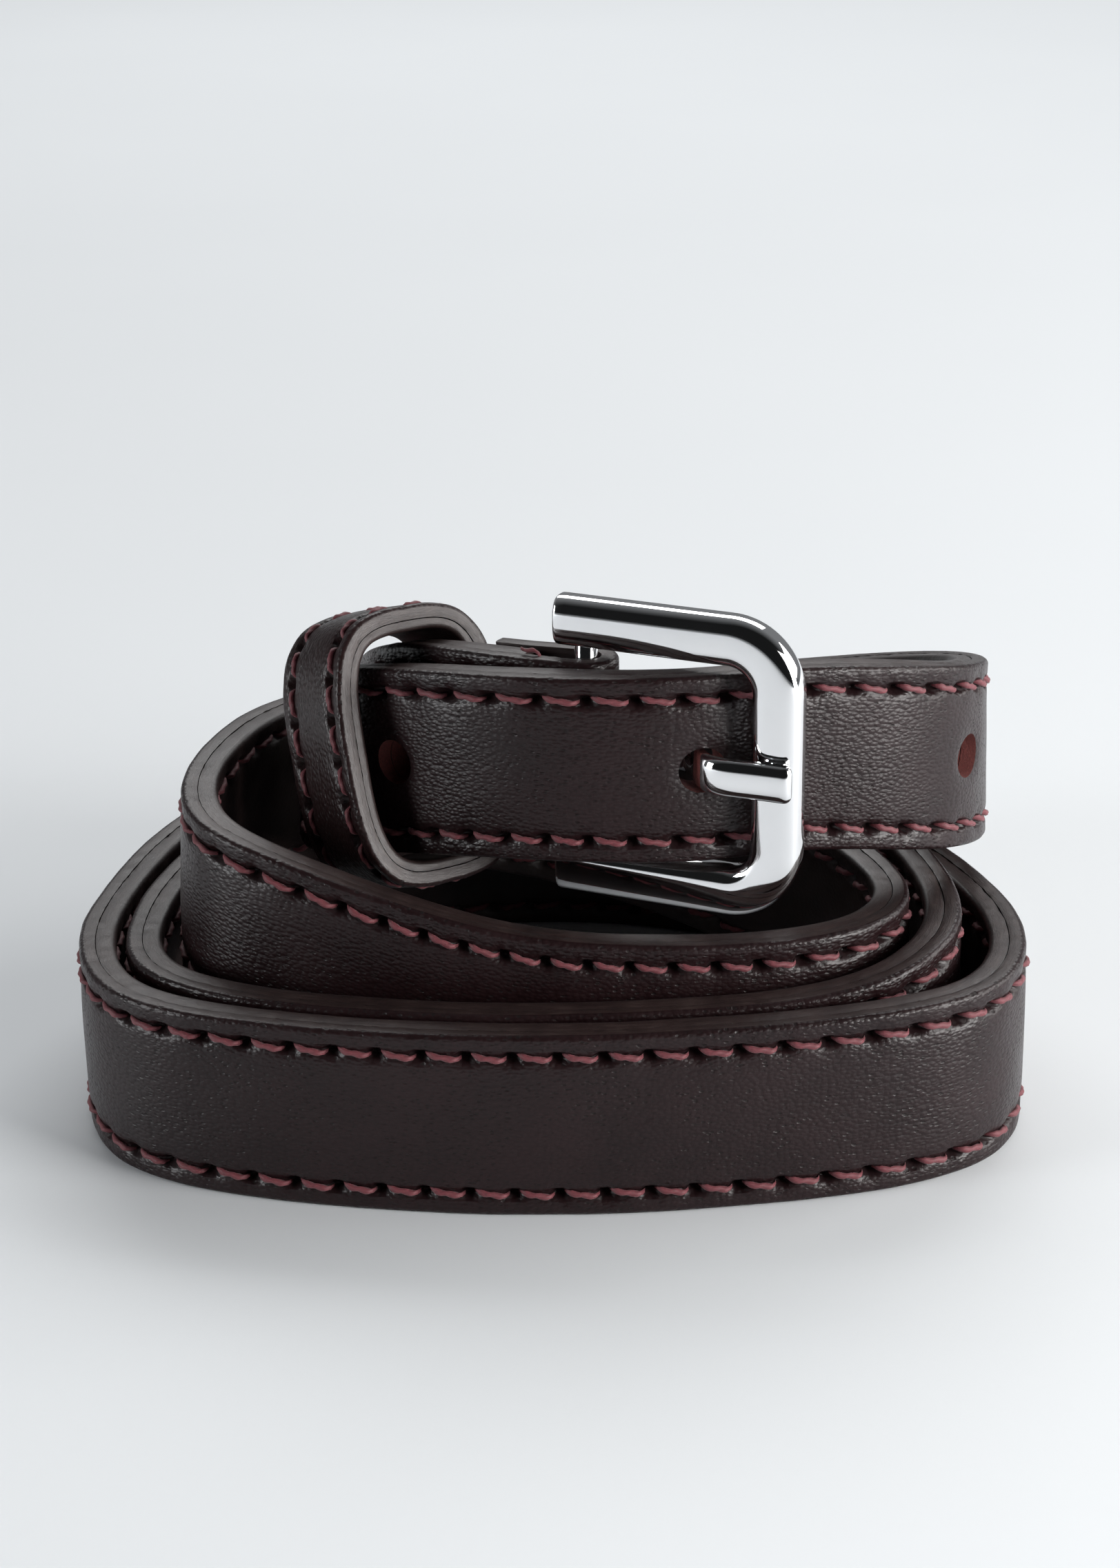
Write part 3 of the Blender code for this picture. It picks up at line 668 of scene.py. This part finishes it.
def make_buckle_frame(plane, chrome):
    """The open U, mirrored about its middle, with a softly domed section and rounded ends."""
    wide, deep = FRAME_BAR / 2, FRAME_DEPTH / 2
    section = []
    for i in range(48):
        a = 2 * math.pi * (i + 0.5) / 48
        section.append((wide * rounded(math.cos(a), 0.7), deep * rounded(math.sin(a), 0.7)))
    level = FRAME_OPENING / 2 + FRAME_BAR / 2
    arm = FRAME_REACH - FRAME_CORNER
    straight = level - FRAME_CORNER
    # Each station: right, up, the direction out of the frame, and how much the section shrinks.
    stations = []
    for inset, right in ((0.3, 0.0), (0.12, 0.06), (0.03, 0.16), (0.0, 0.32)):
        stations.append((right - FRAME_TAIL, level, 0.0, 1.0, inset))
    for right in np.linspace(1.0 - FRAME_TAIL, arm - 0.4, 14):
        stations.append((right, level, 0.0, 1.0, 0.0))
    for a in np.radians(np.linspace(0, 90, 25)):
        right, up = arm + FRAME_CORNER * math.sin(a), straight + FRAME_CORNER * math.cos(a)
        stations.append((right, up, math.sin(a), math.cos(a), 0.0))
    stations += [(FRAME_REACH, up, 1.0, 0.0, 0.0) for up in np.linspace(straight - 0.4, 0.4, 10)]
    stations += [(r, -u, out_r, -out_u, inset) for r, u, out_r, out_u, inset in reversed(stations)]
    rings = []
    for right, up, out_right, out_up, inset in stations:
        ring = []
        for w, d in section:
            w *= 1 - inset / wide
            d *= 1 - inset / deep
            ring.append(plane.point(right + w * out_right, up + w * out_up, d))
        rings.append(ring)
    obj = sweep("buckle_frame_polished", np.array(rings), sharp=50)
    return finish_piece(obj, "buckle", [chrome], ["buckle_frame"])


def make_pin(plane, chrome):
    """The hinge pin, seated in both arms, with chamfered ends."""
    chamfer = 0.2
    reach = FRAME_OPENING / 2 + PIN_SEAT
    angles = np.arange(40) * math.pi / 20
    rings = []
    for up in (-reach, chamfer - reach, -3.0, 0.0, 3.0, reach - chamfer, reach):
        radius = PIN_RADIUS - (chamfer if abs(up) == reach else 0.0)
        rings.append([plane.point(radius * math.cos(a), up, radius * math.sin(a)) for a in angles])
    obj = sweep("hinge_pin_polished", np.array(rings), sharp=50)
    return finish_piece(obj, "buckle", [chrome], ["hinge_pin"])


def prong_points(hole, hole_axis):
    """The prong's middle line in the buckle's plane: right, front, thickness.

    It wraps the pin and passes through the hole as in the frame, and then runs straighter to the bar.
    """
    eye = PIN_RADIUS + RUNNING_GAP + EYE_THICKNESS / 2
    wrap = [(eye * math.cos(a), -eye * math.sin(a), EYE_THICKNESS) for a in np.radians(range(-30, -266, -12))]
    wrap.append((0.0, -eye, EYE_THICKNESS))
    rest = FRAME_DEPTH / 2 + 0.3 + PRONG_THICKNESS / 2
    behind = hole - 1.9 * hole_axis
    before = hole + 1.8 * hole_axis
    middle = Spline([
        (0.0, -eye, 0.0), (2.4, -eye, 0.0), (5.2, -1.5, 0.0), (behind[0] - 1.0, behind[1] - 0.55, 0.0),
        (*behind, 0.0), (*hole, 0.0), (*before, 0.0), (before[0] + 0.8, before[1] + 0.42, 0.0),
        (before[0] + 2.2, rest + 0.2, 0.0), (FRAME_REACH - 1.9, rest + 0.12, 0.0), (FRAME_REACH, rest, 0.0),
        (FRAME_REACH + 1.3, rest - 0.04, 0.0),
    ])
    shank = middle.at(np.linspace(0, middle.length, 90))[0][1:]
    return wrap + [(r, f, min(PRONG_THICKNESS, EYE_THICKNESS + 0.12 * max(r, 0.0))) for r, f, _ in shank]


def make_prong(plane, hole, hole_axis, chrome):
    """Rounded in front and nearly flat behind, with a domed end."""
    path = np.array(prong_points(plane.flat(hole - plane.pin), plane.flat(hole_axis)))
    along = unit(np.gradient(path[:, :2], axis=0))
    end = path[-1, :2]
    stations = [(p[:2], p[2], t, 1.0) for p, t in zip(path, along)]
    for a in np.linspace(0.25, 1.45, 7):
        stations.append((end + 0.62 * math.sin(a) * along[-1], PRONG_THICKNESS, along[-1], math.cos(a)))
    rings = []
    for (right, front), thickness, (t_right, t_front), share in stations:
        ring = []
        for i in range(28):
            a = 2 * math.pi * (i + 0.5) / 28
            w = PRONG_WIDTH / 2 * rounded(math.cos(a), 0.75) * (0.55 + 0.45 * share)
            d = thickness / 2 * rounded(math.sin(a), 0.95 if math.sin(a) > 0 else 0.35) * share
            ring.append(plane.point(right - d * t_front, w, front + d * t_right))
        rings.append(ring)
    obj = sweep("prong_polished", np.array(rings), sharp=60)
    return finish_piece(obj, "prong", [chrome], ["prong"])


# --- Materials -----------------------------------------------------------------------------------

# Linear colours. Grained leathers have their usual tone, then the deepest and the lightest.
STRAP_TONES = ((0.0120, 0.0046, 0.0052), (0.0075, 0.0028, 0.0032), (0.0170, 0.0074, 0.0080))
KEEPER_TONES = ((0.0145, 0.0060, 0.0062), (0.0090, 0.0037, 0.0038), (0.0195, 0.0088, 0.0090))
PORE_TONE = (0.004, 0.0015, 0.0015)
LINING_TONES = ((0.012, 0.0058, 0.0056), (0.023, 0.012, 0.011))
THREAD_TONES = ((0.050, 0.0075, 0.0115), (0.19, 0.033, 0.044), (0.12, 0.028, 0.032))
EDGE_TONES = [(0.36, (0.012, 0.0062, 0.006)), (0.52, (0.024, 0.0135, 0.0125)), (0.68, (0.05, 0.034, 0.031))]
RAW_TONES = [(0.3, (0.07, 0.014, 0.012)), (0.55, (0.17, 0.04, 0.034)), (0.75, (0.28, 0.09, 0.075))]
PORE_SHAPE = [(0.0, (1.0, 1.0, 1.0)), (0.12, (0.9, 0.9, 0.9)), (0.24, (0.0, 0.0, 0.0))]
SHEET_TONES = ((0.70, 0.725, 0.745), (0.715, 0.74, 0.76))
CHROME_TONE = (0.9, 0.9, 0.91)
WIRE_TONE = (0.62, 0.61, 0.6)


class Nodes:
    """Short names for adding and joining the shader nodes of one material."""

    def __init__(self, name):
        self.material = bpy.data.materials.new(name)
        self.material.use_nodes = True
        self.tree = self.material.node_tree
        self.shader = self.tree.nodes["Principled BSDF"]

    def add(self, kind, **values):
        """A node with some of its inputs or settings given."""
        node = self.tree.nodes.new(kind)
        for key, value in values.items():
            if key in node.inputs:
                node.inputs[key].default_value = value
            else:
                setattr(node, key, value)
        return node

    def join(self, value, socket):
        """Links another node's output to a socket, or sets the socket to a number or colour."""
        if isinstance(value, bpy.types.NodeSocket):
            self.tree.links.new(value, socket)
        elif isinstance(value, tuple):
            socket.default_value = (*value, 1.0)
        else:
            socket.default_value = value

    def mapped(self, vector, scale):
        mapping = self.add("ShaderNodeMapping", Scale=scale)
        self.join(vector, mapping.inputs["Vector"])
        return mapping.outputs["Vector"]

    def place(self, scale=(1, 1, 1)):
        """The piece's own place attribute, in millimetres: along, across, depth."""
        attribute = self.add("ShaderNodeAttribute", attribute_name="place")
        return self.mapped(attribute.outputs["Vector"], scale)

    def objectwise(self, scale):
        """Place in the frame's own coordinates."""
        coordinates = self.add("ShaderNodeTexCoord")
        return self.mapped(coordinates.outputs["Object"], (scale, scale, scale))

    def noise(self, vector, scale, detail=3.0, roughness=0.55):
        node = self.add("ShaderNodeTexNoise", Scale=scale, Detail=detail, Roughness=roughness)
        self.join(vector, node.inputs["Vector"])
        return node.outputs["Fac"]

    def voronoi(self, vector, scale, jitter=1.0):
        node = self.add("ShaderNodeTexVoronoi", voronoi_dimensions="2D", Scale=scale, Randomness=jitter)
        self.join(vector, node.inputs["Vector"])
        return node.outputs["Distance"]

    def ramp(self, value, stops):
        node = self.add("ShaderNodeValToRGB")
        elements = node.color_ramp.elements
        while len(elements) < len(stops):
            elements.new(0.5)
        for element, (position, color) in zip(elements, stops):
            element.position = position
            element.color = (*color, 1.0)
        self.join(value, node.inputs["Fac"])
        return node.outputs["Color"]

    def spread(self, value, low, high, out_low=0.0, out_high=1.0):
        """Maps the range from low to high onto another one, and holds its ends."""
        node = self.add("ShaderNodeMapRange")
        for key, number in (("From Min", low), ("From Max", high), ("To Min", out_low), ("To Max", out_high)):
            self.join(number, node.inputs[key])
        self.join(value, node.inputs["Value"])
        return node.outputs["Result"]

    def maths(self, operation, first, second):
        node = self.add("ShaderNodeMath", operation=operation)
        self.join(first, node.inputs[0])
        self.join(second, node.inputs[1])
        return node.outputs["Value"]

    def total(self, *terms):
        """The sum of some values, each given with its share."""
        scaled = [self.maths("MULTIPLY", value, share) for value, share in terms]
        sum_so_far = scaled[0]
        for value in scaled[1:]:
            sum_so_far = self.maths("ADD", sum_so_far, value)
        return sum_so_far

    def mix(self, share, first, second):
        node = self.add("ShaderNodeMix", data_type="RGBA")
        self.join(share, node.inputs[0])
        self.join(first, node.inputs[6])
        self.join(second, node.inputs[7])
        return node.outputs[2]

    def finish(self, color, roughness, height=None, strength=0.0, distance=0.0, **constants):
        """Joins colour, roughness and bump to the shader, and sets its constant inputs."""
        self.join(color, self.shader.inputs["Base Color"])
        self.join(roughness, self.shader.inputs["Roughness"])
        if height is not None:
            bump = self.add("ShaderNodeBump", Strength=strength, Distance=distance)
            self.join(height, bump.inputs["Height"])
            self.join(bump.outputs["Normal"], self.shader.inputs["Normal"])
        for key, value in constants.items():
            self.shader.inputs[key.replace("_", " ")].default_value = value
        return self.material


def grained_leather(name, tones):
    """Semi-gloss grain: fine pebbles, dark lengthwise pores, slow changes of tone and gloss."""
    base, deep, light = tones
    nodes = Nodes(name)
    place = nodes.place()
    pebbles = nodes.voronoi(nodes.place((0.62, 1.0, 1.0)), 3.4, jitter=0.9)
    pores = nodes.ramp(nodes.voronoi(nodes.place((0.55, 1.15, 1.0)), 2.1), PORE_SHAPE)
    pores = nodes.maths("MULTIPLY", pores, nodes.spread(nodes.noise(place, 0.5), 0.42, 0.58, 0.25, 1.0))
    creases = nodes.noise(nodes.place((1.6, 0.5, 1.0)), 0.9, 5.0, 0.6)
    tone = nodes.noise(place, 0.16, 4.0)
    fine = nodes.noise(place, 6.0, 2.0)
    color = nodes.mix(nodes.spread(tone, 0.35, 0.65), deep, base)
    color = nodes.mix(nodes.spread(pebbles, 0.15, 0.6, 0.35, 0.0), color, light)
    color = nodes.mix(nodes.maths("MULTIPLY", pores, 0.85), color, PORE_TONE)
    gloss = nodes.spread(nodes.total((tone, 1.0), (fine, 0.5)), 0.5, 1.0, 0.3, 0.42)
    height = nodes.total((creases, 0.5), (pebbles, -0.75), (pores, -0.55), (fine, 0.12))
    return nodes.finish(color, nodes.total((gloss, 1.0), (pores, 0.2)), height, 0.75, 0.00008,
                        Specular_IOR_Level=0.3)


def burnished_edge(name):
    """Cut edges and flesh sides: waxed fibres that run lengthwise, lighter where they are rubbed."""
    nodes = Nodes(name)
    streaks = nodes.noise(nodes.place((0.35, 4.0, 4.0)), 1.2, 6.0, 0.7)
    fibres = nodes.noise(nodes.place((1.4, 9.0, 9.0)), 1.6, 4.0, 0.6)
    patches = nodes.noise(nodes.place(), 0.35, 3.0)
    worn = nodes.ramp(nodes.total((streaks, 0.6), (patches, 0.4)), EDGE_TONES)
    height = nodes.total((fibres, 0.6), (streaks, 0.7))
    return nodes.finish(worn, nodes.spread(fibres, 0.3, 0.7, 0.34, 0.5), height, 0.4, 0.0001,
                        Specular_IOR_Level=0.5)


def smooth_lining(name):
    """The inner layer's dull, nearly plain side."""
    nodes = Nodes(name)
    tone = nodes.noise(nodes.place(), 0.3, 4.0)
    grain = nodes.voronoi(nodes.place((0.8, 1.0, 1.0)), 3.0)
    color = nodes.mix(nodes.spread(tone, 0.35, 0.65), *LINING_TONES)
    height = nodes.total((grain, 1.0), (tone, 0.6))
    return nodes.finish(color, nodes.spread(tone, 0.3, 0.7, 0.42, 0.58), height, 0.3, 0.00006)


def raw_leather(name):
    """Reddish cut fibres inside the punched holes."""
    nodes = Nodes(name)
    fibres = nodes.noise(nodes.place((2.0, 2.0, 6.0)), 2.2, 6.0, 0.7)
    color = nodes.ramp(fibres, RAW_TONES)
    return nodes.finish(color, nodes.spread(fibres, 0.3, 0.7, 0.7, 0.92), fibres, 0.7, 0.00015)


def waxed_thread(name):
    """Twisted burgundy thread with a little sheen."""
    low, high, worn = THREAD_TONES
    nodes = Nodes(name)
    fibres = nodes.noise(nodes.place((5.0, 2.2, 1.0)), 2.0, 4.0, 0.6)
    tone = nodes.noise(nodes.objectwise(1000.0), 0.35, 2.0)
    color = nodes.mix(nodes.spread(fibres, 0.3, 0.7), low, high)
    color = nodes.mix(nodes.spread(tone, 0.4, 0.7, 0.0, 0.4), color, worn)
    return nodes.finish(color, nodes.spread(fibres, 0.3, 0.7, 0.5, 0.72), fibres, 0.5, 0.00006,
                        Sheen_Weight=0.1, Sheen_Roughness=0.5)


def polished_metal(name, color, roughness, wear):
    """Bright plated metal with a few soft rubbed patches."""
    nodes = Nodes(name)
    smear = nodes.noise(nodes.objectwise(160.0), 1.0, 4.0)
    hairs = nodes.noise(nodes.objectwise(900.0), 1.0, 3.0)
    tint = nodes.mix(nodes.spread(smear, 0.3, 0.7), color, tuple(c * 0.94 for c in color))
    gloss = nodes.spread(smear, 0.35, 0.7, roughness, roughness + wear)
    return nodes.finish(tint, gloss, hairs, 0.035, 0.00004, Metallic=1.0)


def pale_sheet(name):
    nodes = Nodes(name)
    tone = nodes.noise(nodes.objectwise(6.0), 1.0, 3.0)
    color = nodes.mix(nodes.spread(tone, 0.3, 0.7), *SHEET_TONES)
    return nodes.finish(color, 0.75, Specular_IOR_Level=0.2)


# --- Stage, light and camera ---------------------------------------------------------------------

CAMERA_PLACE = (0.9, -239.9, 115.0)
CAMERA_PITCH = math.radians(69.0)
CAMERA_ROLL = math.radians(-1.0)
CAMERA_LENS = 71.24

# Half the width of the sheet, in metres.
SHEET_REACH = 4.0

WARM = (1.0, 0.985, 0.97)
COOL = (0.97, 0.985, 1.0)
WHITE = (1.0, 1.0, 1.0)
CENTRE = (0.0, 0.0, 0.02)
# Name, place, aim, size in metres, watts and colour.
SOFT_BOXES = (
    ("key_right", (0.42, -0.25, 0.12), CENTRE, (0.26, 0.24), 3.5, WARM),
    ("low_right", (0.15, -0.10, 0.11), (0.125, -0.075, 0.0), (0.10, 0.10), 0.05, WARM),
    ("side_right", (0.52, 0.10, 0.22), CENTRE, (0.36, 0.28), 1.9, WARM),
    ("back_top", (0.05, 0.75, 0.75), (0.0, 0.35, 0.0), (1.0, 0.5), 7.6, WHITE),
    ("left_strip", (-0.42, -0.14, 0.11), CENTRE, (0.12, 0.22), 1.1, COOL),
)
ROOM_TONE = (0.94, 0.97, 1.0)
ROOM_DARKEST = 0.01
ROOM_BRIGHTEST = 0.2


def make_camera():
    data = bpy.data.cameras.new("camera")
    data.lens = CAMERA_LENS
    data.sensor_width = 36.0
    data.clip_start = 0.005
    data.clip_end = 20.0
    camera = bpy.data.objects.new("camera", data)
    camera.location = [v * MM for v in CAMERA_PLACE]
    camera.rotation_euler = (CAMERA_PITCH, 0.0, 0.0)
    camera.rotation_euler.rotate_axis("Z", CAMERA_ROLL)
    bpy.context.scene.collection.objects.link(camera)
    bpy.context.scene.camera = camera
    # The default view transform would grey the dark leather.
    bpy.context.scene.view_settings.view_transform = "Standard"


def make_stage():
    """A wide pale sheet that runs past the top of the view."""
    corners = [(x * SHEET_REACH, y * SHEET_REACH, 0.0) for x, y in ((-1, -1), (1, -1), (1, 1), (-1, 1))]
    mesh = bpy.data.meshes.new("sheet")
    mesh.from_pydata(corners, [], [(0, 1, 2, 3)])
    mesh.materials.append(pale_sheet("pale_sheet"))
    sheet = bpy.data.objects.new("sheet", mesh)
    bpy.context.scene.collection.objects.link(sheet)


def soft_box(name, place, aim, size, power, color):
    data = bpy.data.lights.new(name, "AREA")
    data.shape = "RECTANGLE"
    data.size, data.size_y = size
    data.energy = power
    data.color = color
    light = bpy.data.objects.new(name, data)
    light.location = place
    light.rotation_euler = (Vector(aim) - Vector(place)).to_track_quat("-Z", "Y").to_euler()
    bpy.context.scene.collection.objects.link(light)


def make_room():
    """The room's own light: dim towards the front, where the camera stands, and brighter behind."""
    world = bpy.context.scene.world or bpy.data.worlds.new("world")
    bpy.context.scene.world = world
    world.use_nodes = True
    tree = world.node_tree
    background = tree.nodes["Background"]
    coordinates = tree.nodes.new("ShaderNodeTexCoord")
    split = tree.nodes.new("ShaderNodeSeparateXYZ")
    strength = tree.nodes.new("ShaderNodeMapRange")
    values = {"From Min": -0.45, "From Max": 0.45, "To Min": ROOM_DARKEST, "To Max": ROOM_BRIGHTEST}
    for key, value in values.items():
        strength.inputs[key].default_value = value
    tree.links.new(coordinates.outputs["Generated"], split.inputs[0])
    tree.links.new(split.outputs["Y"], strength.inputs["Value"])
    tree.links.new(strength.outputs["Result"], background.inputs["Strength"])
    background.inputs["Color"].default_value = (*ROOM_TONE, 1.0)


# --- Assembly ------------------------------------------------------------------------------------

def make_thread_tail(strap, thread):
    """The short free end of the edge thread, standing above the strap beside the fold."""
    middle, along, across, outward = [item[0] for item in strap.frames(3.0)]
    base = middle + (STRAP_WIDTH / 2 - 0.1) * across + 0.4 * outward
    outline = [(0.0, -0.6), (0.1, 0.0), (0.35, 0.35), (0.8, 0.5), (1.3, 0.42), (1.7, 0.55)]
    line = np.array([base + a * along + u * across for a, u in outline])
    line = Spline(line).at(np.linspace(0, Spline(line).length, STITCH_RINGS))[0]
    sideways = np.repeat(outward[None, :], STITCH_RINGS, axis=0)
    upward = np.repeat(across[None, :], STITCH_RINGS, axis=0)
    obj = stitch_mesh("thread_tail", [(line, sideways, upward)], THREAD_RADIUS * 0.7)
    finish_piece(obj, "strap", [thread])


def main():
    leather = grained_leather("strap_leather", STRAP_TONES)
    keeper_leather = grained_leather("keeper_leather", KEEPER_TONES)
    edge = burnished_edge("burnished_edge")
    raw = raw_leather("raw_leather")
    lining = smooth_lining("lining_leather")
    thread = waxed_thread("burgundy_thread")
    chrome = polished_metal("buckle_chrome", CHROME_TONE, 0.035, 0.05)
    wire = polished_metal("staple_wire", WIRE_TONE, 0.25, 0.15)

    strap = Strap(ROUTE)
    prong_place = strap.nearest(PRONG_HOLE_X, strap.length - 75.0, strap.length - 35.0)
    holes = [prong_place - k * HOLE_PITCH for k in range(-HOLES_TOWARDS_TIP, HOLES_AWAY_FROM_TIP + 1)]
    stitch_start = prong_place % STITCH_PITCH + 0.5 * STITCH_PITCH
    outer = make_outer_layer(strap, prong_place, holes, stitch_start)
    finish_piece(outer, "strap", [leather, edge, raw], ["strap_face"])
    inner = make_inner_layer(strap, prong_place, holes, stitch_start)
    finish_piece(inner, "strap", [lining, edge, raw], ["strap_lining"])
    for name, side in (("upper", 1), ("lower", -1)):
        curves = strap_stitches(strap, stitch_start, side, True)
        curves += strap_stitches(strap, stitch_start, side, False)
        stitches = stitch_mesh("stitches_" + name, curves, THREAD_RADIUS)
        finish_piece(stitches, "strap", [thread], ["needle_thread_" + name])
    make_thread_tail(strap, thread)

    pin, folded = fold_frames(strap)
    plane = BucklePlane(pin, folded[-1][1])
    hole, _, _, hole_axis = [item[0] for item in strap.frames(prong_place)]
    make_buckle_frame(plane, chrome)
    make_pin(plane, chrome)
    make_prong(plane, hole, hole_axis, chrome)

    place = keeper_place(strap)
    band = make_keeper_layer("keeper_grained_layer", place, 0.0, KEEPER_FACE, True, KEEPER_BAND / 2)
    finish_piece(band, "keeper", [keeper_leather, edge], ["keeper_face"])
    inside = make_keeper_layer("keeper_lining_layer", place, KEEPER_FACE + 0.08, KEEPER_LINING, False,
                               KEEPER_BAND / 2 - 0.06)
    finish_piece(inside, "keeper", [lining, edge], ["keeper_lining"])
    for name, side in (("left", 1), ("right", -1)):
        stitches = stitch_mesh("keeper_stitches_" + name, keeper_stitches(place, side), THREAD_RADIUS * 0.95)
        finish_piece(stitches, "keeper", [thread], ["keeper_thread_" + name])
    finish_piece(make_staple(place), "keeper", [wire], ["keeper_staple"])

    make_stage()
    for box in SOFT_BOXES:
        soft_box(*box)
    make_room()
    make_camera()


main()
